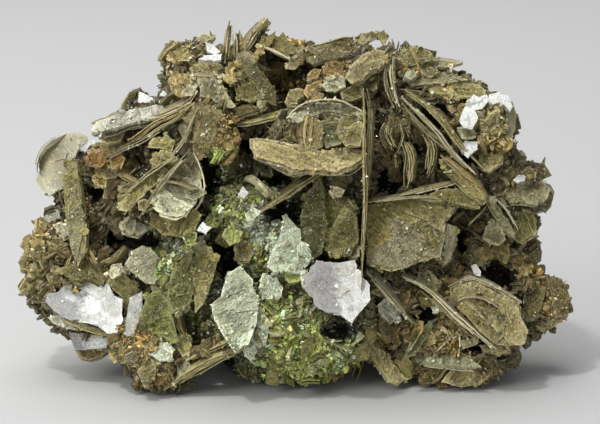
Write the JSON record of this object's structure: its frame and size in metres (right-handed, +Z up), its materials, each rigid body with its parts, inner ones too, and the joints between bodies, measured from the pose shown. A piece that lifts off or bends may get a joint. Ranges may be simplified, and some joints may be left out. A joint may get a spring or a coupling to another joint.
{
  "type": "muscovite mica specimen",
  "caption": "Loose hand specimen of raw muscovite: an irregular cluster of thin mica books and plates around a core of fine green scales, resting on its lumpy underside.",
  "frame": {"origin": "middle of the bounding box on the resting plane", "axes": "+X to the right of the front in the picture, +Y from the front to the back, +Z up"},
  "size_m": [0.113, 0.065, 0.0714],
  "materials": {
    "muscovite": "pearly mica books, iron stained, on fine green mica scales"
  },
  "bodies": {
    "root": {"muscovite_cluster": "muscovite"}
  },
  "joints": []
}
